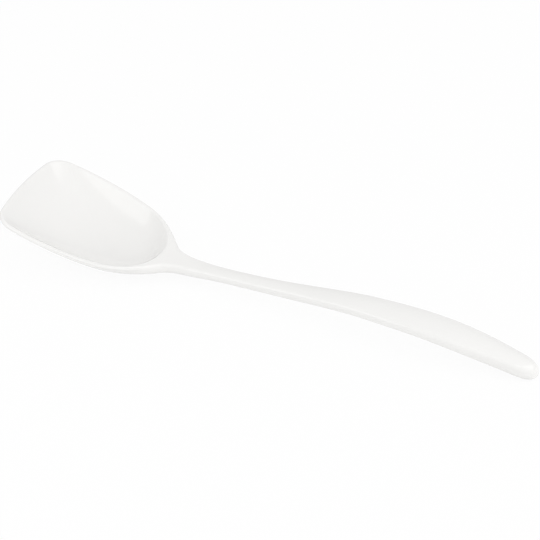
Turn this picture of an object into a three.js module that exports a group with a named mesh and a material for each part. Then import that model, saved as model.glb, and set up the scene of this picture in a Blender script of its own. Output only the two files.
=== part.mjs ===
// A cooking spoon moulded in one piece, with a flat-fronted bowl, lying on a table.
// Millimetres: x runs from the lip to the handle's end, y goes across, z goes up from the table.
// The one moulding is made as three zones, bowl, neck and handle, that meet on flat sections.

import * as THREE from 'three';
import { mergeVertices } from 'three/addons/utils/BufferGeometryUtils.js';

// Outline seen from above, with places measured from the lip and turns in degrees
const LENGTH = 305;
const LIP_RADIUS = 175;
const CORNER_RADIUS = 12;
const SIDE_SWELL = 0.55;
const SIDE_TURN = 6;
const BOWL_WIDTH = 70.6;
const BOWL_WIDEST_PLACE = 24;
const SHOULDER_WIDTH = 61.8;
const SHOULDER_PLACE = 62;
const SHOULDER_TURN = 15;
const THROAT_WIDTH = 22.4;
const THROAT_TURN = 48;
const NECK_LENGTH = 20;
const NECK_WIDTH = 10.9;
const NECK_TURN = 5;
const STEM_WIDTH = 9.8;
const STEM_PLACE = 138;
const GRIP_WIDTH = 20.1;
const GRIP_PLACE = 250;
const TIP_WIDTH = 14;
const TIP_LENGTH = 13;
const TIP_TURN = 7;
const TIP_BLUNTNESS = 6;

// Height of the rim and of the handle's top edges above the table, with slopes as rise over run
const LIP_HEIGHT = 29.8;
const LIP_FALL = -0.26;
const MID_RIM_HEIGHT = 17.4;
const MID_RIM_PLACE = 53;
const MID_RIM_FALL = -0.212;
const BACK_RIM_HEIGHT = 11.5;
const BACK_RIM_FALL = -0.15;
const SADDLE_HEIGHT = 9.8;
const SADDLE_PLACE = 112;
const SADDLE_SLOPE = 0.03;
const RISE_HEIGHT = 13.3;
const RISE_PLACE = 165;
const RISE_SLOPE = 0.095;
const ARCH_HEIGHT = 16.9;
const ARCH_PLACE = 212;
const FALL_HEIGHT = 16.4;
const FALL_PLACE = 240;
const FALL_SLOPE = -0.055;
const TIP_HEIGHT = 9.6;
const TIP_FALL = -0.21;

// Bowl, shaped by its floor, a ring part of the way up and its rim
const HOLLOW_LENGTH = 86;
const WEB_WIDTH = 4;
const RIM_WIDTH = 1.85;
const RIM_ROUND = 1.15;
const FLOOR_PLACE = 56;
const FLOOR_HEIGHT = 3.1;
const FLOOR_REACH = 15;
const FLOOR_BACK_REACH = 19;
const FRONT_RING_SQUARENESS = 3.8;
const FRONT_RING_REACH = 36.5;
const FRONT_RING_HEIGHT = 12.6;
const SIDE_RING_REACH = 22.8;
const SIDE_RING_HEIGHT = 9;
const BACK_RING_SQUARENESS = 2.6;
const BACK_RING_REACH = 21;
const BACK_RING_HEIGHT = 3.5;
const FOOT_RADIUS = 7;
const FOOT_CUT = 0.7;
const FOOT_BLEND = 0.6;

// Neck and handle section, with the side's draft in degrees from level
const NECK_THICKNESS = 5.7;
const WAIST_THICKNESS = 5;
const WAIST_PLACE = 124;
const RISE_THICKNESS = 5.5;
const ARCH_THICKNESS = 5.8;
const ARCH_THICKENING = 0.01;
const GRIP_THICKNESS = 6.1;
const TIP_THICKNESS = 7.9;
const END_THICKNESS = 9;
const TIP_THICKENING = 0.03;
const STEM_CROWN = 0.4;
const GRIP_CROWN = 0.9;
const NECK_EDGE_ROUND = 2;
const STEM_EDGE_ROUND = 2.2;
const GRIP_EDGE_ROUND = 2.6;
const NECK_DRAFT = 112;
const STEM_DRAFT = 97;
const KEEL_INSET = 0.9;
const KEEL_RISE = 0.4;
const SIDE_EASE = 0.7;

// Facets in each stretch of a rib or of the outline
const LIP_STEPS = 5;
const CORNER_STEPS = 7;
const FLARE_STEPS = 3;
const SIDE_STEPS = 6;
const SHOULDER_STEPS = 9;
const WEB_STEPS = 5;
const NECK_STEPS = 8;
const COLLAR_STEPS = 3;
const STEM_STEPS = 14;
const GRIP_STEPS = 12;
const TIP_STEPS = 10;
const DISH_STEPS = 9;
const INNER_ROUND_STEPS = 3;
const OUTER_ROUND_STEPS = 5;
const SIDE_FACE_STEPS = 4;
const UNDER_STEPS = 6;
const WALL_TURN = 0.85;
const FOOT_TURN = 0.26;
const WEB_SHARE = 0.32;
const MERGE_DISTANCE = 1e-4;
const MIDDLE_BAND = 1e-3;

const rad = THREE.MathUtils.degToRad;
const { lerp, smoothstep } = THREE.MathUtils;
const throatPlace = HOLLOW_LENGTH + WEB_WIDTH;
const neckEnd = throatPlace + NECK_LENGTH;
const tipStart = LENGTH - TIP_LENGTH;

// Smooth plan curve between two knots [x, y, heading in degrees], round where the knots allow it
function bend(from, to) {
  const turn = rad(to[2] - from[2]);
  const reach = Math.hypot(to[0] - from[0], to[1] - from[1]) / (3 * Math.cos(turn / 4) ** 2);
  const ahead = (knot, way) => new THREE.Vector2(
    knot[0] + way * reach * Math.cos(rad(knot[2])),
    knot[1] + way * reach * Math.sin(rad(knot[2])),
  );
  const start = new THREE.Vector2(from[0], from[1]);
  const end = new THREE.Vector2(to[0], to[1]);
  return new THREE.CubicBezierCurve(start, ahead(from, 1), ahead(to, -1), end);
}

// Value along x through knots [x, value, slope]
function along(knots) {
  return (x) => {
    let i = 1;
    while (i < knots.length - 1 && x > knots[i][0]) i += 1;
    const [x0, v0, s0] = knots[i - 1];
    const [x1, v1, s1] = knots[i];
    const span = x1 - x0;
    const t = (x - x0) / span;
    return lerp(v0, v1, t * t * (3 - 2 * t)) + span * t * (1 - t) * ((1 - t) * s0 - t * s1);
  };
}

const steps = (count) => Array.from({ length: count + 1 }, (_, i) => i / count);

// The outline, one curve for each stretch
const cornerY = BOWL_WIDTH / 2 - CORNER_RADIUS - SIDE_SWELL;
const lipAngle = Math.asin(cornerY / (LIP_RADIUS - CORNER_RADIUS));
const cornerX = LIP_RADIUS - (LIP_RADIUS - CORNER_RADIUS) * Math.cos(lipAngle);
const lipTurn = THREE.MathUtils.radToDeg(lipAngle);
const onCorner = (heading) => [
  cornerX - CORNER_RADIUS * Math.sin(rad(heading)),
  cornerY + CORNER_RADIUS * Math.cos(rad(heading)),
  heading,
];
const lipKnot = [0, 0, 90];
const cornerKnot = onCorner(90 - lipTurn);
const sideKnot = onCorner(SIDE_TURN);
const widestKnot = [BOWL_WIDEST_PLACE, BOWL_WIDTH / 2, 0];
const shoulderKnot = [SHOULDER_PLACE, SHOULDER_WIDTH / 2, -SHOULDER_TURN];
const throatKnot = [throatPlace, THROAT_WIDTH / 2, -THROAT_TURN];
const neckKnot = [neckEnd, NECK_WIDTH / 2, -NECK_TURN];
const stemKnot = [STEM_PLACE, STEM_WIDTH / 2, 0];
const gripKnot = [GRIP_PLACE, GRIP_WIDTH / 2, 0];
const tipKnot = [tipStart, TIP_WIDTH / 2, -TIP_TURN];
const endKnot = [LENGTH, 0, -90];
const throatSkew = 1 / Math.cos(rad(THROAT_TURN));
const throatKeelY = THROAT_WIDTH / 2 - KEEL_INSET * throatSkew;

// Heights and section sizes along the spoon
const topHeight = along([
  [0, LIP_HEIGHT, LIP_FALL],
  [MID_RIM_PLACE, MID_RIM_HEIGHT, MID_RIM_FALL],
  [HOLLOW_LENGTH, BACK_RIM_HEIGHT, BACK_RIM_FALL],
  [SADDLE_PLACE, SADDLE_HEIGHT, SADDLE_SLOPE],
  [RISE_PLACE, RISE_HEIGHT, RISE_SLOPE],
  [ARCH_PLACE, ARCH_HEIGHT, 0],
  [FALL_PLACE, FALL_HEIGHT, FALL_SLOPE],
  [tipStart, TIP_HEIGHT, TIP_FALL],
  [LENGTH, TIP_HEIGHT + TIP_FALL * TIP_LENGTH, TIP_FALL],
]);
const thickness = along([
  [throatPlace, NECK_THICKNESS, 0],
  [WAIST_PLACE, WAIST_THICKNESS, 0],
  [RISE_PLACE, RISE_THICKNESS, ARCH_THICKENING],
  [ARCH_PLACE, ARCH_THICKNESS, ARCH_THICKENING],
  [GRIP_PLACE, GRIP_THICKNESS, TIP_THICKENING],
  [tipStart, TIP_THICKNESS, TIP_THICKENING],
  [LENGTH, END_THICKNESS, TIP_THICKENING],
]);
const crown = along([
  [throatPlace, 0, 0],
  [STEM_PLACE, STEM_CROWN, 0],
  [GRIP_PLACE, GRIP_CROWN, 0],
  [LENGTH, GRIP_CROWN, 0],
]);
const edgeRound = along([
  [throatPlace, NECK_EDGE_ROUND, 0],
  [STEM_PLACE, STEM_EDGE_ROUND, 0],
  [GRIP_PLACE, GRIP_EDGE_ROUND, 0],
  [LENGTH, GRIP_EDGE_ROUND, 0],
]);
const sideDraft = along([
  [throatPlace, NECK_DRAFT, 0],
  [STEM_PLACE, STEM_DRAFT, 0],
  [LENGTH, STEM_DRAFT, 0],
]);

// Edge of the moulding from its top round to the foot of its side, as [distance inward, height]
function edgeProfile({ top, round, skew, lean, draft, keelZ, keelSlope }) {
  const profile = steps(OUTER_ROUND_STEPS).map((v) => {
    const angle = lerp(Math.PI / 2 - lean, draft - Math.PI / 2, v);
    return [round * skew * (1 - Math.cos(angle)), top + round * (Math.sin(angle) - Math.cos(lean))];
  });
  const [sideIn, sideZ] = profile.at(-1);
  const keelIn = KEEL_INSET * skew;
  const drop = (sideZ - keelZ) * SIDE_EASE;
  const sweep = (keelIn - sideIn) * SIDE_EASE;
  const face = new THREE.CubicBezierCurve(
    new THREE.Vector2(sideIn, sideZ),
    new THREE.Vector2(sideIn + drop / Math.tan(draft), sideZ - drop),
    new THREE.Vector2(keelIn - sweep, keelZ + sweep * keelSlope),
    new THREE.Vector2(keelIn, keelZ),
  );
  face.getPoints(SIDE_FACE_STEPS).slice(1).forEach((p) => profile.push([p.x, p.y]));
  return profile;
}

// Half section of the neck or handle, from the middle of the top round to the middle of the bottom;
// along the tip it turns into an oval that closes at the handle's end
function handleSection(x, halfWidth, skew) {
  const inTip = Math.max(0, (x - tipStart) / TIP_LENGTH);
  const flatten = Math.sqrt(Math.max(0, 1 - inTip ** TIP_BLUNTNESS));
  const fullWidth = inTip > 0 ? TIP_WIDTH / 2 : halfWidth;
  const top = topHeight(x);
  const rise = crown(x);
  const bottom = top + rise - thickness(x);
  const round = edgeRound(x);
  const keelY = fullWidth - KEEL_INSET * skew;
  const edge = edgeProfile({
    top,
    round,
    skew,
    lean: Math.atan2(2 * rise, fullWidth - round * skew),
    draft: rad(sideDraft(x)),
    keelZ: bottom + KEEL_RISE,
    keelSlope: 2 * KEEL_RISE / keelY,
  }).map(([inward, z]) => [fullWidth - inward, z]);
  const topY = edge[0][0];
  const points = [
    ...steps(WEB_STEPS).slice(0, -1).map((v) => [v * topY, top + rise * (1 - v * v)]),
    ...edge,
    ...steps(WEB_STEPS).slice(1).map((v) => [(1 - v) * keelY, bottom + KEEL_RISE * (1 - v) ** 2]),
  ];
  const middle = (top + rise + bottom) / 2;
  const deep = thickness(x) / 2;
  const narrow = halfWidth / fullWidth;
  return points.map(([y, z]) => {
    const oval = lerp(1, 1 / Math.hypot(y / fullWidth, (z - middle) / deep), inTip ** 2);
    return new THREE.Vector3(x, y * oval * narrow, Math.max(0, middle + (z - middle) * oval * flatten));
  });
}

const at = (plan, z) => new THREE.Vector3(plan.x, plan.y, z);
const shifted = (plan, way, distance) => plan.clone().addScaledVector(way, distance);
const pole = new THREE.Vector2(FLOOR_PLACE, 0);
const topSlope = (x) => topHeight(x + 0.5) - topHeight(x - 0.5);

// Point of the ring that shapes the hollow, along a plan direction from the floor's middle
function ringPoint(toward) {
  const endReach = toward.x < 0 ? FRONT_RING_REACH : BACK_RING_REACH;
  const endHeight = toward.x < 0 ? FRONT_RING_HEIGHT : BACK_RING_HEIGHT;
  const squareness = toward.x < 0 ? FRONT_RING_SQUARENESS : BACK_RING_SQUARENESS;
  const power = (value) => Math.abs(value) ** squareness;
  const reach = (power(toward.x / endReach) + power(toward.y / SIDE_RING_REACH)) ** (-1 / squareness);
  return at(shifted(pole, toward, reach), lerp(SIDE_RING_HEIGHT, endHeight, toward.x ** 2));
}

// Hollow from its floor out to the start of the rim's inner round, and the angles that the round joins
function dish(edge, out) {
  const toward = edge.clone().sub(pole).normalize();
  const ring = ringPoint(toward);
  const rim = at(edge, topHeight(edge.x));
  const climb = (rim.z - ring.z) / Math.hypot(rim.x - ring.x, rim.y - ring.y);
  const sideways = topSlope(edge.x) * out.y * (out.y * toward.x - out.x * toward.y);
  const wall = Math.atan((climb - sideways) / out.dot(toward));
  const top = Math.atan(topSlope(edge.x) * out.x);
  const cut = RIM_ROUND * Math.tan((wall - top) / 2);
  const foot = at(shifted(edge, out, -cut * Math.cos(wall)), rim.z - cut * Math.sin(wall));
  const floorReach = lerp(FLOOR_REACH, FLOOR_BACK_REACH, Math.max(0, toward.x) ** 2);
  const floor = at(shifted(pole, toward, floorReach), FLOOR_HEIGHT);
  const curve = new THREE.CubicBezierCurve3(at(pole, FLOOR_HEIGHT), floor, ring, foot);
  const middle = RIM_WIDTH - RIM_ROUND;
  const rimTop = rim.z + (middle - RIM_ROUND * Math.sin(top)) * Math.tan(top);
  const rimDrop = RIM_ROUND / Math.cos(top) - middle * Math.tan(top);
  const rimWall = RIM_ROUND + middle * Math.sin(wall) + rimDrop * Math.cos(wall);
  return { curve, toward, wall, top, foot, rimTop, rimWall };
}

function hollowRib(edge, out) {
  const { curve, wall, top, foot } = dish(edge, out);
  const round = steps(INNER_ROUND_STEPS).slice(1).map((v) => {
    const turn = lerp(wall, top, v);
    const plan = shifted(foot, at(out, 0), RIM_ROUND * (Math.sin(wall) - Math.sin(turn)));
    return at(plan, foot.z + RIM_ROUND * (Math.cos(turn) - Math.cos(wall)));
  });
  return [...curve.getPoints(DISH_STEPS), ...round];
}

// Eases a point of the underside into the flat that the bowl rests on
function settled(p) {
  if (p.z < FOOT_BLEND) p.z = Math.max(0, p.z + FOOT_BLEND) ** 2 / (4 * FOOT_BLEND);
  return p;
}

// Outside of the bowl's wall, which follows the hollow at the wall's thickness
function outerWall(edge, out) {
  const { curve, toward, wall, rimWall } = dish(edge, out);
  const places = [
    ...steps(SIDE_FACE_STEPS).slice(1).map((v) => lerp(1, WALL_TURN, v)),
    ...steps(UNDER_STEPS - 1).slice(1).map((v) => lerp(WALL_TURN, FOOT_TURN, v)),
  ];
  const outside = places.map((t) => {
    const way = curve.getTangent(t);
    const run = new THREE.Vector2(way.x, way.y);
    const downhill = run.clone().normalize().lerp(out, t).normalize();
    const slope = lerp(way.z / run.dot(downhill), Math.tan(wall), t);
    const inward = at(downhill.multiplyScalar(-slope), 1).normalize();
    return curve.getPoint(t).addScaledVector(inward, -lerp(FLOOR_HEIGHT + FOOT_CUT, rimWall, t));
  });
  return [...outside, at(shifted(pole, toward, FOOT_RADIUS), -FOOT_CUT)];
}

// Underside from the foot of the neck's side in to the bowl's resting flat
function underRib(start, out, slope) {
  const plan = new THREE.Vector2(start.x, start.y);
  const toward = pole.clone().sub(plan).normalize();
  const end = shifted(pole, toward, -FOOT_RADIUS);
  const reach = end.distanceTo(plan) / 3;
  const fall = slope * toward.dot(out) + topSlope(throatPlace) * toward.x;
  return new THREE.CubicBezierCurve3(
    start,
    at(shifted(plan, toward, reach), start.z + reach * fall),
    at(shifted(end, toward, -reach), -FOOT_CUT),
    at(end, -FOOT_CUT),
  ).getPoints(UNDER_STEPS).slice(1);
}

// Whole rib of the bowl: hollow, rim and outside; blend is 0 along the bowl and 1 at the neck
function bowlRib({ point, normal, out, edge, edgeOut, blend }) {
  const skew = 1 / out.dot(normal);
  const { wall, top, rimTop } = dish(edge, edgeOut);
  const height = topHeight(point.x);
  const keelSlope = 2 * KEEL_RISE / throatKeelY;
  const profile = edgeProfile({
    top: lerp(rimTop, height, blend),
    round: lerp(RIM_ROUND, NECK_EDGE_ROUND, blend ** 3),
    skew,
    lean: -lerp(top, 0, blend),
    draft: lerp(wall, rad(NECK_DRAFT), blend),
    keelZ: height - NECK_THICKNESS + KEEL_RISE,
    keelSlope,
  }).map(([inward, z]) => at(shifted(point, out, -inward), z));
  const round = profile.slice(0, OUTER_ROUND_STEPS + 1);
  const side = profile.slice(OUTER_ROUND_STEPS + 1);
  const neckward = [...side, ...underRib(side.at(-1), out, keelSlope)];
  const bowlward = outerWall(edge, edgeOut);
  const outside = bowlward.map((p, i) => settled(p.lerp(neckward[i], blend)));
  return [...hollowRib(edge, edgeOut), ...round, ...outside];
}

// Direction that faces out of the moulding at a place along a plan curve
function facing(curve, share) {
  const t = curve.getUtoTmapping(share);
  const way = curve.v1.clone().sub(curve.v0).multiplyScalar((1 - t) ** 2);
  way.addScaledVector(curve.v2.clone().sub(curve.v1), 2 * t * (1 - t));
  way.addScaledVector(curve.v3.clone().sub(curve.v2), t * t);
  return new THREE.Vector2(-way.y, way.x).normalize();
}

function walk(curve, count) {
  return steps(count).map((v) => ({ point: curve.getPointAt(v), normal: facing(curve, v) }));
}

const across = new THREE.Vector2(0, 1);
const shoulderStart = walk(bend(shoulderKnot, throatKnot), 1)[0];
const hollowStart = shifted(shoulderStart.point, shoulderStart.normal, -RIM_WIDTH);
const hollowBack = bend([hollowStart.x, hollowStart.y, -SHOULDER_TURN], [HOLLOW_LENGTH, 0, -90]);
const throat = handleSection(throatPlace, THROAT_WIDTH / 2, throatSkew);

// Ribs from the middle of the lip round to the neck
function bowlRibs() {
  const front = [
    ...walk(bend(lipKnot, cornerKnot), LIP_STEPS).slice(0, -1),
    ...walk(bend(cornerKnot, sideKnot), CORNER_STEPS).slice(0, -1),
    ...walk(bend(sideKnot, widestKnot), FLARE_STEPS).slice(0, -1),
    ...walk(bend(widestKnot, shoulderKnot), SIDE_STEPS).slice(0, -1),
  ].map(({ point, normal }) => {
    const edge = shifted(point, normal, -RIM_WIDTH);
    return bowlRib({ point, normal, out: normal, edge, edgeOut: normal, blend: 0 });
  });
  const shoulder = walk(bend(shoulderKnot, throatKnot), SHOULDER_STEPS).map(({ point, normal }, i) => {
    const share = i / SHOULDER_STEPS;
    const out = shoulderStart.normal.clone().lerp(across, share).normalize();
    const place = share * (1 - WEB_SHARE);
    const edge = hollowBack.getPointAt(place);
    const edgeOut = facing(hollowBack, place);
    return bowlRib({ point, normal, out, edge, edgeOut, blend: smoothstep(share, 0, 1) });
  });
  return [...front, ...shoulder];
}

// Ribs that run from the hollow's back edge to the neck, above and below
function webRibs() {
  const keel = throat.length - 1 - WEB_STEPS;
  return steps(WEB_STEPS).map((share, i) => {
    const place = lerp(1 - WEB_SHARE, 1, share);
    const edge = hollowBack.getPointAt(place);
    const above = [...hollowRib(edge, facing(hollowBack, place)), throat[WEB_STEPS - i]];
    const start = throat[keel + i];
    const below = [start, ...underRib(start, across, (1 - share) * 2 * KEEL_RISE / throatKeelY).map(settled)];
    return { above, below };
  });
}

// Half sections along an outline curve
function handleSections(curve, count) {
  return walk(curve, count).map(({ point, normal }) => {
    const skew = point.x > tipStart ? 1 / Math.cos(rad(TIP_TURN)) : 1 / normal.y;
    return handleSection(point.x, point.y, skew);
  });
}

// Triangles between neighbouring rows of points, facing out of the moulding
function sheet(rows) {
  const triangles = [];
  for (let i = 1; i < rows.length; i += 1) {
    for (let j = 1; j < rows[i].length; j += 1) {
      const [a, b, c, d] = [rows[i - 1][j - 1], rows[i][j - 1], rows[i][j], rows[i - 1][j]];
      triangles.push([a, b, c], [a, c, d]);
    }
  }
  return triangles;
}

// Flat end face over half a section; way is 1 towards the handle's end and -1 towards the lip
function endFace(section, way) {
  const middle = section[0].clone().add(section.at(-1)).multiplyScalar(0.5);
  return section.slice(1).map((p, i) => (way > 0 ? [middle, p, section[i]] : [middle, section[i], p]));
}

// Resting flat under half the bowl, with one large triangle at the middle
function footFace(ring) {
  const widest = ring.reduce((a, b) => (b.y > a.y ? b : a));
  return [...ring.slice(1), ring[0]].map((p, i) => [widest, ring[i], p]);
}

// Closed solid from the triangles of its half on the +y side
function solid(name, half, material) {
  const flip = ([a, b, c]) => [a, c, b].map((p) => new THREE.Vector3(p.x, -p.y, p.z));
  const onMiddle = (y) => (Math.abs(y) < MIDDLE_BAND ? 0 : y);
  const positions = [...half, ...half.map(flip)].flat().flatMap((p) => [p.x, onMiddle(p.y), p.z]);
  const loose = new THREE.BufferGeometry();
  loose.setAttribute('position', new THREE.Float32BufferAttribute(positions, 3));
  const merged = mergeVertices(loose, MERGE_DISTANCE);
  const kept = [];
  for (let i = 0; i < merged.index.count; i += 3) {
    const [a, b, c] = [0, 1, 2].map((k) => merged.index.getX(i + k));
    if (a !== b && b !== c && c !== a) kept.push(a, b, c);
  }
  merged.setIndex(kept);
  merged.computeVertexNormals();
  const mesh = new THREE.Mesh(merged, material);
  mesh.name = name;
  return mesh;
}

const glossyWhite = () => new THREE.MeshStandardMaterial({ color: 0xf4f3f1, roughness: 0.18, metalness: 0 });

const round = bowlRibs();
const web = webRibs();
const under = web.map((rib) => rib.below);
const bowlHalf = [
  ...sheet(round),
  ...sheet(web.map((rib) => rib.above)),
  ...sheet(under),
  ...footFace([...round, ...under].map((rib) => rib.at(-1))),
  ...endFace(throat, 1),
];

const neckSections = handleSections(bend(throatKnot, neckKnot), NECK_STEPS);
const neckHalf = [
  ...endFace(neckSections[0], -1),
  ...sheet(neckSections),
  ...endFace(neckSections.at(-1), 1),
];

const gripSections = [
  ...handleSections(bend(neckKnot, stemKnot), COLLAR_STEPS).slice(0, -1),
  ...handleSections(bend(stemKnot, gripKnot), STEM_STEPS).slice(0, -1),
  ...handleSections(bend(gripKnot, tipKnot), GRIP_STEPS).slice(0, -1),
  ...handleSections(bend(tipKnot, endKnot), TIP_STEPS),
];
const handleHalf = [...endFace(gripSections[0], -1), ...sheet(gripSections)];

const spoon = new THREE.Group();
spoon.add(
  solid('bowl', bowlHalf, glossyWhite()),
  solid('neck', neckHalf, glossyWhite()),
  solid('handle', handleHalf, glossyWhite()),
);
spoon.position.x = -LENGTH / 2;

export default spoon;
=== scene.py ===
import math

import bmesh
import bpy
import numpy as np
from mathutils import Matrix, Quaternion, Vector


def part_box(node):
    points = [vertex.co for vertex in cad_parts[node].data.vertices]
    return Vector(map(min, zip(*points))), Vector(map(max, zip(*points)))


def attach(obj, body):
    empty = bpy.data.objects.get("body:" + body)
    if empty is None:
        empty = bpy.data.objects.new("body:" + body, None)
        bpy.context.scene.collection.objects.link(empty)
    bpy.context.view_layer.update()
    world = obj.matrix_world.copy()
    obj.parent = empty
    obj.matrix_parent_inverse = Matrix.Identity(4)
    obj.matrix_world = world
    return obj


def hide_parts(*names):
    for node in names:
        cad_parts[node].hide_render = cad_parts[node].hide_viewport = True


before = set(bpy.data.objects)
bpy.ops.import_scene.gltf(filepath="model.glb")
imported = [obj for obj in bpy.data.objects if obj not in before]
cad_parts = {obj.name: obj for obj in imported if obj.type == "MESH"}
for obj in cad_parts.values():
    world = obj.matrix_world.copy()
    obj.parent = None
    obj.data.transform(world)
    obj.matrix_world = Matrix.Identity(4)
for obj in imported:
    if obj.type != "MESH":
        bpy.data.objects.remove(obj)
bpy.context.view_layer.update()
print("frame loaded:", ", ".join(sorted(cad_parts)))

mm = 0.001  # the spoon's sizes are in millimetres, places along it are counted from the lip


# Curves

def rowsOf(count):
    return np.linspace(0, 1, count + 1)


def mix(a, b, share):
    return a + (b - a) * share


def easeInOut(share):
    return share * share * (3 - 2 * share)


def bend(start, end):  # plan curve between two knots (x, y, heading in degrees)
    turn = math.radians(end[2] - start[2])
    reach = math.dist(start[:2], end[:2]) / (3 * math.cos(turn / 4) ** 2)
    headings = [math.radians(knot[2]) for knot in (start, end)]
    ahead = [np.array([math.cos(heading), math.sin(heading)]) for heading in headings]
    first, last = np.array(start[:2], float), np.array(end[:2], float)
    return [first, first + reach * ahead[0], last - reach * ahead[1], last]


def pointOn(curve, t):
    a, b, c, d = curve
    s = 1 - t
    return s ** 3 * a + 3 * s * s * t * b + 3 * s * t * t * c + t ** 3 * d


def wayOn(curve, t):
    a, b, c, d = curve
    s = 1 - t
    return s * s * (b - a) + 2 * s * t * (c - b) + t * t * (d - c)


def evenPlaces(curve, shares):  # curve places at even shares of its length
    fine = rowsOf(400)  # steps fine enough to measure the curve by
    line = np.array([pointOn(curve, t) for t in fine])
    run = np.concatenate([[0], np.cumsum(np.linalg.norm(np.diff(line, axis=0), axis=1))])
    return np.interp(np.asarray(shares) * run[-1], run, fine)


def walk(curve, shares):  # points with the plan direction that faces out of the moulding
    steps = []
    for t in evenPlaces(curve, shares):
        way = wayOn(curve, t)
        steps.append((pointOn(curve, t), np.array([-way[1], way[0]]) / np.linalg.norm(way)))
    return steps


def along(knots):  # value along x through knots (x, value, slope)
    def value(x):
        i = 1
        while i < len(knots) - 1 and x > knots[i][0]:
            i += 1
        (x0, v0, s0), (x1, v1, s1) = knots[i - 1], knots[i]
        t = (x - x0) / (x1 - x0)
        return mix(v0, v1, easeInOut(t)) + (x1 - x0) * t * (1 - t) * ((1 - t) * s0 - t * s1)
    return value


def raised(plan, z):
    return np.array([plan[0], plan[1], z])


# Outline and heights

outline = {
    "length": 305, "lipRadius": 175, "cornerRadius": 12, "sideSwell": 0.55, "sideTurn": 6,
    "bowlWidth": 70.6, "widestPlace": 24,
    "shoulderWidth": 61.8, "shoulderPlace": 62, "shoulderTurn": 15,
    "throatWidth": 22.4, "throatTurn": 48,
    "neckWidth": 10.9, "neckTurn": 5, "stemWidth": 9.8, "stemPlace": 138,
    "gripWidth": 20.1, "gripPlace": 250,
    "tipWidth": 14, "tipLength": 13, "tipTurn": 7, "tipBluntness": 6,
    "webWidth": 4,  # between the hollow and the neck
}
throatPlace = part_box("neck")[0].x / mm + outline["length"] / 2
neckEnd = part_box("neck")[1].x / mm + outline["length"] / 2
tipStart = outline["length"] - outline["tipLength"]
hollowLength = throatPlace - outline["webWidth"]

cornerY = outline["bowlWidth"] / 2 - outline["cornerRadius"] - outline["sideSwell"]
cornerReach = outline["lipRadius"] - outline["cornerRadius"]
lipAngle = math.asin(cornerY / cornerReach)
cornerX = outline["lipRadius"] - cornerReach * math.cos(lipAngle)


def onCorner(heading):
    angle, radius = math.radians(heading), outline["cornerRadius"]
    return (cornerX - radius * math.sin(angle), cornerY + radius * math.cos(angle), heading)


cornerKnot = onCorner(90 - math.degrees(lipAngle))
sideKnot = onCorner(outline["sideTurn"])
widestKnot = (outline["widestPlace"], outline["bowlWidth"] / 2, 0)
shoulderKnot = (outline["shoulderPlace"], outline["shoulderWidth"] / 2, -outline["shoulderTurn"])
throatKnot = (throatPlace, outline["throatWidth"] / 2, -outline["throatTurn"])
neckKnot = (neckEnd, outline["neckWidth"] / 2, -outline["neckTurn"])
stemKnot = (outline["stemPlace"], outline["stemWidth"] / 2, 0)
gripKnot = (outline["gripPlace"], outline["gripWidth"] / 2, 0)
tipKnot = (tipStart, outline["tipWidth"] / 2, -outline["tipTurn"])
throatSkew = 1 / math.cos(math.radians(outline["throatTurn"]))

length, stemPlace, gripPlace = outline["length"], outline["stemPlace"], outline["gripPlace"]
risePlace, archPlace = 165, 212  # steepest and highest places of the handle
tipHeight, tipFall = 9.6, -0.21
heights = {  # top of the rim and of the handle's edges: place, height above the table and slope
    "lip": (0, 29.8, -0.26),
    "midRim": (53, 17.4, -0.212),
    "backRim": (hollowLength, 11.5, -0.15),
    "lowNeck": (112, 9.8, 0.03),
    "rise": (risePlace, 13.3, 0.095),
    "arch": (archPlace, 16.9, 0),
    "fall": (240, 16.4, -0.055),
    "tip": (tipStart, tipHeight, tipFall),
    "end": (length, tipHeight + tipFall * outline["tipLength"], tipFall),
}
thicknesses = {  # neck and handle: place, thickness and slope
    "throat": (throatPlace, 5.7, 0),
    "waist": (124, 5, 0),
    "rise": (risePlace, 5.5, 0.01),
    "arch": (archPlace, 5.8, 0.01),
    "grip": (gripPlace, 6.1, 0.03),
    "tip": (tipStart, 7.9, 0.03),
    "end": (length, 9, 0.03),
}
topHeight, thickness = along([*heights.values()]), along([*thicknesses.values()])
crown = along([(throatPlace, 0, 0), (stemPlace, 0.4, 0), (gripPlace, 0.9, 0), (length, 0.9, 0)])
edgeRound = along([(throatPlace, 2, 0), (stemPlace, 2.2, 0), (gripPlace, 2.6, 0), (length, 2.6, 0)])
sideDraft = along([(throatPlace, 112, 0), (stemPlace, 97, 0), (length, 97, 0)])  # degrees from level


def topSlope(x):  # rise over the millimetre about x
    return topHeight(x + 0.5) - topHeight(x - 0.5)


# Cross-sections

section = {
    "keelInset": 0.9, "keelRise": 0.4, "sideEase": 0.7,
    "webRows": 24, "outerRoundRows": 12, "sideRows": 10,
    "neckRibs": 24, "collarRibs": 10, "stemRibs": 60, "gripRibs": 40, "tipRibs": 30,
}


def edgeProfile(top, radius, skew, lean, draft, keelZ, keelSlope):  # (inset, height) down to the keel
    profile = []
    for turn in mix(math.pi / 2 - lean, draft - math.pi / 2, rowsOf(section["outerRoundRows"])):
        inward = radius * skew * (1 - math.cos(turn))
        profile.append(np.array([inward, top + radius * (math.sin(turn) - math.cos(lean))]))
    side = profile[-1]
    keel = np.array([section["keelInset"] * skew, keelZ])
    drop = (side[1] - keelZ) * section["sideEase"]
    sweep = (keel[0] - side[0]) * section["sideEase"]
    belowSide = side + np.array([drop / math.tan(draft), -drop])
    besideKeel = keel + np.array([-sweep, sweep * keelSlope])
    face = [side, belowSide, besideKeel, keel]
    return profile + [pointOn(face, t) for t in rowsOf(section["sideRows"])[1:]]


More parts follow.
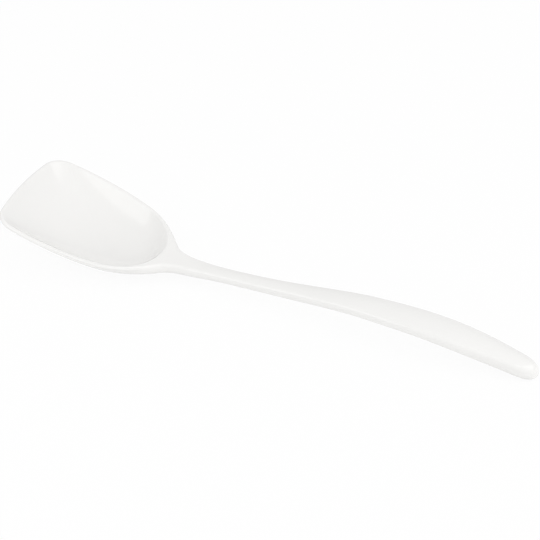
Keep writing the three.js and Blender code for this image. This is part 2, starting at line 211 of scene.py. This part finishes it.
def handleSection(x, halfWidth, skew):  # half section from the middle of the top to the middle of the bottom
    inTip = max(0, (x - tipStart) / outline["tipLength"])
    flatten = math.sqrt(max(0, 1 - inTip ** outline["tipBluntness"]))
    fullWidth = outline["tipWidth"] / 2 if inTip > 0 else halfWidth
    top, rise = topHeight(x), crown(x)
    bottom = top + rise - thickness(x)
    radius = edgeRound(x)
    keelY = fullWidth - section["keelInset"] * skew
    lean = math.atan2(2 * rise, fullWidth - radius * skew)
    keelZ, keelSlope = bottom + section["keelRise"], 2 * section["keelRise"] / keelY
    edge = edgeProfile(top, radius, skew, lean, math.radians(sideDraft(x)), keelZ, keelSlope)
    edge = [(fullWidth - inward, z) for inward, z in edge]
    rows = rowsOf(section["webRows"])
    points = [(v * edge[0][0], top + rise * (1 - v * v)) for v in rows[:-1]]
    points += edge
    points += [((1 - v) * keelY, bottom + section["keelRise"] * (1 - v) ** 2) for v in rows[1:]]
    middle, deep, narrow = (top + rise + bottom) / 2, thickness(x) / 2, halfWidth / fullWidth
    oval = [mix(1, 1 / math.hypot(y / fullWidth, (z - middle) / deep), inTip ** 2) for y, z in points]
    return [
        np.array([x, y * swell * narrow, max(0, middle + (z - middle) * swell * flatten)])
        for (y, z), swell in zip(points, oval)
    ]


def handleSections(curve, count):
    sections = []
    for point, normal in walk(curve, rowsOf(count)):
        skew = 1 / math.cos(math.radians(outline["tipTurn"])) if point[0] > tipStart else 1 / normal[1]
        sections.append(handleSection(point[0], point[1], skew))
    return sections


# Bowl

bowl = {
    "rimWidth": 1.85, "rimRound": 1.15,
    "floorPlace": 56, "floorHeight": 3.1, "floorReach": 15, "floorBackReach": 19,
    "frontRing": (36.5, 12.6, 3.8), "backRing": (21, 3.5, 2.6),  # reach, height and squareness
    "sideRing": (22.8, 9),  # reach and height
    "footCut": 0.7, "footBlend": 0.6, "footRadius": 7,
    "wallTurn": 0.85, "footTurn": 0.2, "webShare": 0.32,
    "dishRows": 32, "innerRoundRows": 6, "rimRows": 10, "underRows": 20, "footRows": 6,
    "lipRibs": 16, "cornerRibs": 26, "flareRibs": 8, "sideRibs": 24, "shoulderRibs": 44,
}
pole = np.array([bowl["floorPlace"], 0.0])


def ringPoint(toward):  # ring that shapes the hollow between its floor and its rim
    endReach, endHeight, power = bowl["frontRing"] if toward[0] < 0 else bowl["backRing"]
    sideReach, sideHeight = bowl["sideRing"]
    reach = (abs(toward[0] / endReach) ** power + abs(toward[1] / sideReach) ** power) ** (-1 / power)
    return raised(pole + toward * reach, mix(sideHeight, endHeight, toward[0] ** 2))


def dish(edge, out):  # hollow from its floor to the rim's inner round, with the angles that the round joins
    toward = (edge - pole) / np.linalg.norm(edge - pole)
    ring, rim = ringPoint(toward), raised(edge, topHeight(edge[0]))
    climb = (rim[2] - ring[2]) / math.dist(rim[:2], ring[:2])
    sideways = topSlope(edge[0]) * out[1] * (out[1] * toward[0] - out[0] * toward[1])
    wall = math.atan((climb - sideways) / out.dot(toward))
    top = math.atan(topSlope(edge[0]) * out[0])
    cut = bowl["rimRound"] * math.tan((wall - top) / 2)
    foot = raised(edge - out * cut * math.cos(wall), rim[2] - cut * math.sin(wall))
    floorReach = mix(bowl["floorReach"], bowl["floorBackReach"], max(0, toward[0]) ** 2)
    floor = raised(pole + toward * floorReach, bowl["floorHeight"])
    middle = bowl["rimWidth"] - bowl["rimRound"]
    drop = bowl["rimRound"] / math.cos(top) - middle * math.tan(top)
    return {
        "curve": [raised(pole, bowl["floorHeight"]), floor, ring, foot],
        "wall": wall, "top": top, "foot": foot,
        "rimTop": rim[2] + (middle - bowl["rimRound"] * math.sin(top)) * math.tan(top),
        "rimWall": bowl["rimRound"] + middle * math.sin(wall) + drop * math.cos(wall),
    }


def hollowRib(edge, out):
    shape = dish(edge, out)
    points = [pointOn(shape["curve"], t) for t in rowsOf(bowl["dishRows"])]
    for turn in mix(shape["wall"], shape["top"], rowsOf(bowl["innerRoundRows"]))[1:]:
        plan = shape["foot"][:2] + out * bowl["rimRound"] * (math.sin(shape["wall"]) - math.sin(turn))
        lift = bowl["rimRound"] * (math.cos(turn) - math.cos(shape["wall"]))
        points.append(raised(plan, shape["foot"][2] + lift))
    return points


def rimFlat(start, end):  # top of the rim between its two rounds, following the rim's height
    lift = [p[2] - topHeight(p[0]) for p in (start, end)]
    flat = []
    for v in rowsOf(bowl["rimRows"])[1:-1]:
        plan = mix(start[:2], end[:2], v)
        flat.append(raised(plan, topHeight(plan[0]) + mix(lift[0], lift[1], v)))
    return flat


def settled(point):  # eases the underside into the flat that it rests on
    blend = bowl["footBlend"]
    z = point[2]
    return raised(point[:2], z if z > blend else max(0, z + blend) ** 2 / (4 * blend))


def outerWall(edge, out):
    shape = dish(edge, out)
    places = np.concatenate([
        mix(1, bowl["wallTurn"], rowsOf(section["sideRows"]))[1:],
        mix(bowl["wallTurn"], bowl["footTurn"], rowsOf(bowl["underRows"]))[1:],
        mix(bowl["footTurn"], 0, rowsOf(bowl["footRows"]))[1:-1],
    ])
    points = []
    for t in places:
        way = wayOn(shape["curve"], t)
        run = way[:2]
        downhill = mix(run / np.linalg.norm(run), out, t)
        downhill = downhill / np.linalg.norm(downhill)
        slope = mix(way[2] / run.dot(downhill), math.tan(shape["wall"]), t)
        inward = raised(-slope * downhill, 1) / math.hypot(slope, 1)
        wall = mix(bowl["floorHeight"] + bowl["footCut"], shape["rimWall"], t)
        points.append(pointOn(shape["curve"], t) - inward * wall)
    return points + [raised(pole, -bowl["footCut"])]


def underRib(start, out, slope):  # underside from the foot of the neck's side to the resting flat
    toward = (pole - start[:2]) / np.linalg.norm(pole - start[:2])
    end = pole - toward * bowl["footRadius"]
    reach = math.dist(end, start[:2]) / 3
    fall = slope * toward.dot(out) + topSlope(throatPlace) * toward[0]
    low = -bowl["footCut"]
    leaving = raised(start[:2] + toward * reach, start[2] + reach * fall)
    curve = [start, leaving, raised(end - toward * reach, low), raised(end, low)]
    points = [pointOn(curve, t) for t in rowsOf(bowl["underRows"])[1:]]
    return points + [raised(mix(end, pole, v), low) for v in rowsOf(bowl["footRows"])[1:]]


def bowlRib(point, normal, out, edge, edgeOut, blend):  # blend is 0 along the bowl and 1 at the neck
    skew = 1 / out.dot(normal)
    shape = dish(edge, edgeOut)
    height = topHeight(point[0])
    keelSlope = 2 * section["keelRise"] / (outline["throatWidth"] / 2 - section["keelInset"] * throatSkew)
    top, lean = mix(shape["rimTop"], height, blend), -mix(shape["top"], 0, blend)
    radius = mix(bowl["rimRound"], edgeRound(throatPlace), blend ** 3)  # grows only close to the neck
    draft = mix(shape["wall"], math.radians(sideDraft(throatPlace)), blend)
    keelZ = height - thickness(throatPlace) + section["keelRise"]
    profile = edgeProfile(top, radius, skew, lean, draft, keelZ, keelSlope)
    edgePoints = [raised(point - out * inward, z) for inward, z in profile]
    roundRows = section["outerRoundRows"] + 1
    side = edgePoints[roundRows:]
    neckward = side + underRib(side[-1], out, keelSlope)
    outside = [settled(mix(a, b, blend)) for a, b in zip(outerWall(edge, edgeOut), neckward)]
    hollow = hollowRib(edge, edgeOut)
    return hollow + rimFlat(hollow[-1], edgePoints[0]) + edgePoints[:roundRows] + outside


shoulderCurve = bend(shoulderKnot, throatKnot)
shoulderStart, shoulderOut = walk(shoulderCurve, [0])[0]
hollowStart = shoulderStart - shoulderOut * bowl["rimWidth"]
hollowBack = bend((*hollowStart, -outline["shoulderTurn"]), (hollowLength, 0, -90))
throat = handleSection(throatPlace, outline["throatWidth"] / 2, throatSkew)
across = np.array([0.0, 1.0])


def bowlRibs():  # from the middle of the lip round to the neck
    ribs = []
    stretches = [
        (bend((0, 0, 90), cornerKnot), bowl["lipRibs"]), (bend(cornerKnot, sideKnot), bowl["cornerRibs"]),
        (bend(sideKnot, widestKnot), bowl["flareRibs"]), (bend(widestKnot, shoulderKnot), bowl["sideRibs"]),
    ]
    for curve, count in stretches:
        for point, normal in walk(curve, rowsOf(count)[:-1]):
            ribs.append(bowlRib(point, normal, normal, point - normal * bowl["rimWidth"], normal, 0))
    shares = rowsOf(bowl["shoulderRibs"])
    backs = walk(hollowBack, shares * (1 - bowl["webShare"]))
    for share, (point, normal), (edge, edgeOut) in zip(shares, walk(shoulderCurve, shares), backs):
        out = mix(shoulderOut, across, share)
        ribs.append(bowlRib(point, normal, out / np.linalg.norm(out), edge, edgeOut, easeInOut(share)))
    return ribs


def webRibs():  # from the hollow's back edge to the neck
    ribs = []
    shares = rowsOf(section["webRows"])
    for i, (edge, edgeOut) in enumerate(walk(hollowBack, mix(1 - bowl["webShare"], 1, shares))):
        hollow, end = hollowRib(edge, edgeOut), throat[section["webRows"] - i]
        ribs.append(hollow + rimFlat(hollow[-1], end) + [end])
    return ribs


def underRibs():
    ribs = []
    keel = len(throat) - 1 - section["webRows"]
    keelY = outline["throatWidth"] / 2 - section["keelInset"] * throatSkew
    for i, share in enumerate(rowsOf(section["webRows"])):
        start = throat[keel + i]
        slope = (1 - share) * 2 * section["keelRise"] / keelY
        ribs.append([settled(p) for p in [start] + underRib(start, across, slope)])
    return ribs


handleRibs = []
for start, end, count in [
    (throatKnot, neckKnot, section["neckRibs"]),
    (neckKnot, stemKnot, section["collarRibs"]),
    (stemKnot, gripKnot, section["stemRibs"]),
    (gripKnot, tipKnot, section["gripRibs"]),
    (tipKnot, (length, 0, -90), section["tipRibs"]),
]:
    handleRibs = handleRibs[:-1] + handleSections(bend(start, end), count)


# Loft of the ribs in Geometry Nodes

moulding = {"weldDistance": 1e-6, "middleBand": 1e-6, "sliver": 1e-7}  # metres


def socket(tree, name, kind, way="INPUT"):
    return tree.interface.new_socket(name=name, in_out=way, socket_type=kind)


def loftTree():  # one mesh from neighbouring ribs that have the same count of points
    tree = bpy.data.node_groups.new("loftRibs", "GeometryNodeTree")
    socket(tree, "Ribs", "NodeSocketGeometry")
    socket(tree, "Mesh", "NodeSocketGeometry", "OUTPUT")
    add, link = tree.nodes.new, tree.links.new
    ribs, made = add("NodeGroupInput"), add("NodeGroupOutput")
    size = add("GeometryNodeAttributeDomainSize")
    size.component = "CURVE"
    perRib = add("ShaderNodeMath")
    perRib.operation = "DIVIDE"
    grid, place = add("GeometryNodeMeshGrid"), add("GeometryNodeSetPosition")
    sample = add("GeometryNodeSampleIndex")
    sample.data_type, sample.domain = "FLOAT_VECTOR", "POINT"
    link(ribs.outputs["Ribs"], size.inputs["Geometry"])
    link(size.outputs["Point Count"], perRib.inputs[0])
    link(size.outputs["Spline Count"], perRib.inputs[1])
    link(size.outputs["Spline Count"], grid.inputs["Vertices X"])
    link(perRib.outputs["Value"], grid.inputs["Vertices Y"])
    link(ribs.outputs["Ribs"], sample.inputs["Geometry"])
    link(add("GeometryNodeInputPosition").outputs["Position"], sample.inputs["Value"])
    link(add("GeometryNodeInputIndex").outputs["Index"], sample.inputs["Index"])
    link(grid.outputs["Mesh"], place.inputs["Geometry"])
    link(sample.outputs["Value"], place.inputs["Position"])
    link(place.outputs["Geometry"], made.inputs["Mesh"])
    return tree


def mouldingTree(parts):  # lofts each zone's ribs, mirrors them across the middle and welds the seams
    tree = bpy.data.node_groups.new("spoonMoulding", "GeometryNodeTree")
    inputs = {name: socket(tree, name, "NodeSocketObject") for name in parts}
    inputs["Weld Distance"] = socket(tree, "Weld Distance", "NodeSocketFloat")
    inputs["Finish"] = socket(tree, "Finish", "NodeSocketMaterial")
    socket(tree, "Mesh", "NodeSocketGeometry", "OUTPUT")
    add, link = tree.nodes.new, tree.links.new
    given, made = add("NodeGroupInput"), add("NodeGroupOutput")
    half, whole = add("GeometryNodeJoinGeometry"), add("GeometryNodeJoinGeometry")
    loft = loftTree()
    for name in parts:
        info, zone = add("GeometryNodeObjectInfo"), add("GeometryNodeGroup")
        zone.node_tree = loft
        link(given.outputs[name], info.inputs["Object"])
        link(info.outputs["Geometry"], zone.inputs["Ribs"])
        link(zone.outputs["Mesh"], half.inputs["Geometry"])
    mirror, flip = add("GeometryNodeTransform"), add("GeometryNodeFlipFaces")
    mirror.inputs["Scale"].default_value = (1, -1, 1)
    weld, smooth = add("GeometryNodeMergeByDistance"), add("GeometryNodeSetShadeSmooth")
    real, finish = add("GeometryNodeRealizeInstances"), add("GeometryNodeSetMaterial")
    link(half.outputs["Geometry"], mirror.inputs["Geometry"])
    link(mirror.outputs["Geometry"], flip.inputs["Mesh"])
    link(half.outputs["Geometry"], whole.inputs["Geometry"])
    link(flip.outputs["Mesh"], whole.inputs["Geometry"])
    link(whole.outputs["Geometry"], weld.inputs["Geometry"])
    link(given.outputs["Weld Distance"], weld.inputs["Distance"])
    link(weld.outputs["Geometry"], smooth.inputs["Geometry"])
    link(smooth.outputs["Geometry"], real.inputs["Geometry"])
    link(real.outputs["Geometry"], finish.inputs["Geometry"])
    link(given.outputs["Finish"], finish.inputs["Material"])
    link(finish.outputs["Geometry"], made.inputs["Mesh"])
    return tree, inputs


def ribObject(name, ribs):  # poly splines in the frame, in metres
    curve = bpy.data.curves.new(name, "CURVE")
    curve.dimensions = "3D"
    for rib in ribs:
        points = np.ones((len(rib), 4))
        points[:, :3] = (np.array(rib) - [length / 2, 0, 0]) * mm
        points[np.abs(points[:, 1]) < moulding["middleBand"], 1] = 0
        spline = curve.splines.new("POLY")
        spline.points.add(len(rib) - 1)
        spline.points.foreach_set("co", points.ravel())
    made = bpy.data.objects.new(name, curve)
    bpy.context.scene.collection.objects.link(made)
    return made


# Finish

melamine = {
    "colour": (0.86, 0.855, 0.84), "paler": (0.885, 0.88, 0.868), "roughness": (0.09, 0.14), "ior": 1.52,
    "cloud": (28, 3), "scuff": (520, 5), "ripple": (75, 1),  # scale and detail of the noise
    "rippleDepth": 0.00003,
}


def glossyMelamine():
    made = bpy.data.materials.new("glossyMelamine")
    made.use_nodes = True
    nodes, link = made.node_tree.nodes, made.node_tree.links.new
    shader = nodes["Principled BSDF"]
    shader.inputs["IOR"].default_value = melamine["ior"]
    place = nodes.new("ShaderNodeTexCoord")

    def noise(scale, detail):
        pattern = nodes.new("ShaderNodeTexNoise")
        pattern.inputs["Scale"].default_value = scale
        pattern.inputs["Detail"].default_value = detail
        link(place.outputs["Object"], pattern.inputs["Vector"])
        return pattern

    cloud = noise(*melamine["cloud"])  # faint clouding of the moulding powder
    tint = nodes.new("ShaderNodeMix")
    tint.data_type = "RGBA"
    tint.inputs["A"].default_value = (*melamine["colour"], 1)
    tint.inputs["B"].default_value = (*melamine["paler"], 1)
    link(cloud.outputs["Fac"], tint.inputs["Factor"])
    link(tint.outputs["Result"], shader.inputs["Base Color"])
    scuff = noise(*melamine["scuff"])  # fine unevenness of the polish
    gloss = nodes.new("ShaderNodeMapRange")
    gloss.inputs["To Min"].default_value, gloss.inputs["To Max"].default_value = melamine["roughness"]
    link(scuff.outputs["Fac"], gloss.inputs["Value"])
    link(gloss.outputs["Result"], shader.inputs["Roughness"])
    ripple = noise(*melamine["ripple"])  # slow waviness of the mould's surface
    bump = nodes.new("ShaderNodeBump")
    bump.inputs["Distance"].default_value = melamine["rippleDepth"]
    link(ripple.outputs["Fac"], bump.inputs["Height"])
    link(bump.outputs["Normal"], shader.inputs["Normal"])
    return made


# Spoon

parts = {
    "Bowl Ribs": bowlRibs(), "Web Ribs": webRibs(), "Under Ribs": underRibs(),
    "Handle Sections": handleRibs,
}
tree, inputs = mouldingTree(parts)
helpers = {name: ribObject(name, ribs) for name, ribs in parts.items()}
blank = bpy.data.objects.new("spoonBlank", bpy.data.meshes.new("spoonBlank"))
bpy.context.scene.collection.objects.link(blank)
loft = blank.modifiers.new("moulding", "NODES")
loft.node_group = tree
for name, helper in helpers.items():
    loft[inputs[name].identifier] = helper
loft[inputs["Finish"].identifier] = glossyMelamine()
loft[inputs["Weld Distance"].identifier] = moulding["weldDistance"]
bpy.context.view_layer.update()
spoonMesh = bpy.data.meshes.new_from_object(blank.evaluated_get(bpy.context.evaluated_depsgraph_get()))
for used in [blank, *helpers.values()]:
    bpy.data.objects.remove(used)

cleaned = bmesh.new()
cleaned.from_mesh(spoonMesh)
bmesh.ops.dissolve_degenerate(cleaned, dist=moulding["sliver"], edges=cleaned.edges)
bmesh.ops.recalc_face_normals(cleaned, faces=cleaned.faces)
openEdges = sum(1 for edge in cleaned.edges if not edge.is_manifold)
volume = cleaned.calc_volume() / mm ** 3 / 1000
print("spoon:", len(cleaned.faces), "faces,", openEdges, "open edges,", round(volume, 2), "cm3")
cleaned.to_mesh(spoonMesh)
cleaned.free()
spoonMesh.name = "spoon"
spoon = bpy.data.objects.new("spoon", spoonMesh)
bpy.context.scene.collection.objects.link(spoon)
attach(spoon, "root")
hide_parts("bowl", "neck", "handle")


# Camera

def bearing(azimuth, elevation):  # azimuth 0 looks from the near side, 90 from the handle's end
    turn, tilt = math.radians(azimuth), math.radians(elevation)
    return Vector((math.sin(turn) * math.cos(tilt), -math.cos(turn) * math.cos(tilt), math.sin(tilt)))


shot = {
    "azimuth": 26.28, "elevation": 35.6, "distance": 2040, "aim": (-2.1, 0.4, 19.9),
    "lens": 257.3, "sensor": 36,
}
backward = bearing(shot["azimuth"], shot["elevation"])
camera = bpy.data.objects.new("camera", bpy.data.cameras.new("camera"))
camera.data.lens = shot["lens"]
camera.data.sensor_width = shot["sensor"]
camera.location = (Vector(shot["aim"]) + backward * shot["distance"]) * mm
camera.rotation_mode = "QUATERNION"
camera.rotation_quaternion = (-backward).to_track_quat("-Z", "Y")
bpy.context.scene.collection.objects.link(camera)
bpy.context.scene.camera = camera
print("camera placed")


# Studio

studio = {
    "floorSize": 6, "floorColour": (0.9, 0.9, 0.9), "floorWhite": 0.94,
    "sky": 0.557, "skyRise": (0, 0, 0.37),  # even part, and the part that grows overhead
    "lamps": {
        "leftBox": {
            "aim": (-0.09, 0.01, 0.015), "azimuth": 327, "elevation": 47, "far": 0.62,
            "size": (0.36, 0.36), "roll": 8, "power": 0.47, "mirrored": True,
        },
        "rightBox": {
            "aim": (-0.14, 0.02, 0.02), "azimuth": 104, "elevation": 48, "far": 1,
            "size": (0.69, 0.48), "roll": -27.6, "power": 1, "mirrored": True,
        },
        "frontFill": {
            "aim": (0, 0, 0), "azimuth": 15, "elevation": 14, "far": 1,
            "size": (1.2, 0.45), "roll": 0, "power": 1.5, "mirrored": False,
        },
        "rightFill": {
            "aim": (0, 0, 0), "azimuth": 100, "elevation": 14, "far": 1,
            "size": (0.9, 0.4), "roll": 0, "power": 1.55, "mirrored": False,
        },
    },
}


def seenPlainly(nodes, link):  # 1 for rays that show the surface itself, straight or mirrored
    path = nodes.new("ShaderNodeLightPath")
    seen = path.outputs["Is Camera Ray"]
    for kind in ("Is Glossy Ray", "Is Transmission Ray"):
        most = nodes.new("ShaderNodeMath")
        most.operation = "MAXIMUM"
        link(seen, most.inputs[0])
        link(path.outputs[kind], most.inputs[1])
        seen = most.outputs["Value"]
    return seen


def paleFloor():
    made = bpy.data.materials.new("paleFloor")
    made.use_nodes = True
    nodes, link = made.node_tree.nodes, made.node_tree.links.new
    nodes.remove(nodes["Principled BSDF"])
    cloth, glow = nodes.new("ShaderNodeBsdfDiffuse"), nodes.new("ShaderNodeEmission")
    both = nodes.new("ShaderNodeMixShader")
    cloth.inputs["Color"].default_value = (*studio["floorColour"], 1)
    share = nodes.new("ShaderNodeMath")
    share.operation = "MULTIPLY"
    share.inputs[1].default_value = studio["floorWhite"]
    link(seenPlainly(nodes, link), share.inputs[0])
    link(share.outputs["Value"], both.inputs["Fac"])
    link(cloth.outputs["BSDF"], both.inputs[1])
    link(glow.outputs["Emission"], both.inputs[2])
    link(both.outputs["Shader"], nodes["Material Output"].inputs["Surface"])
    return made


floorMesh = bpy.data.meshes.new("floor")
half = studio["floorSize"] / 2
corners = [(-half, -half, 0), (half, -half, 0), (half, half, 0), (-half, half, 0)]
floorMesh.from_pydata(corners, [], [(0, 1, 2, 3)])
floorMesh.materials.append(paleFloor())
floor = bpy.data.objects.new("floor", floorMesh)
bpy.context.scene.collection.objects.link(floor)

for name, lamp in studio["lamps"].items():
    light = bpy.data.lights.new(name, "AREA")
    light.shape, light.energy = "RECTANGLE", lamp["power"]
    light.size, light.size_y = lamp["size"]
    box = bpy.data.objects.new(name, light)
    way = bearing(lamp["azimuth"], lamp["elevation"])
    box.location = Vector(lamp["aim"]) + way * lamp["far"]
    box.rotation_mode = "QUATERNION"
    box.rotation_quaternion = way.to_track_quat("Z", "Y") @ Quaternion((0, 0, 1), math.radians(lamp["roll"]))
    box.visible_glossy = lamp["mirrored"]  # the fills don't show in the gloss
    bpy.context.scene.collection.objects.link(box)


def paleSky():  # white surround that is brighter overhead
    made = bpy.data.worlds.new("studio")
    made.use_nodes = True
    nodes, link = made.node_tree.nodes, made.node_tree.links.new
    place, rise = nodes.new("ShaderNodeTexCoord"), nodes.new("ShaderNodeVectorMath")
    rise.operation = "DOT_PRODUCT"
    rise.inputs[1].default_value = studio["skyRise"]
    above, total = nodes.new("ShaderNodeMath"), nodes.new("ShaderNodeMath")
    above.operation, total.operation = "MAXIMUM", "ADD"
    above.inputs[1].default_value, total.inputs[1].default_value = 0, studio["sky"]
    link(place.outputs["Generated"], rise.inputs[0])
    link(rise.outputs["Value"], above.inputs[0])
    link(above.outputs["Value"], total.inputs[0])
    nodes["Background"].inputs["Color"].default_value = (1, 1, 1, 1)
    link(total.outputs["Value"], nodes["Background"].inputs["Strength"])
    return made


bpy.context.scene.world = paleSky()
bpy.context.scene.view_settings.view_transform = "Standard"
print("studio lit")
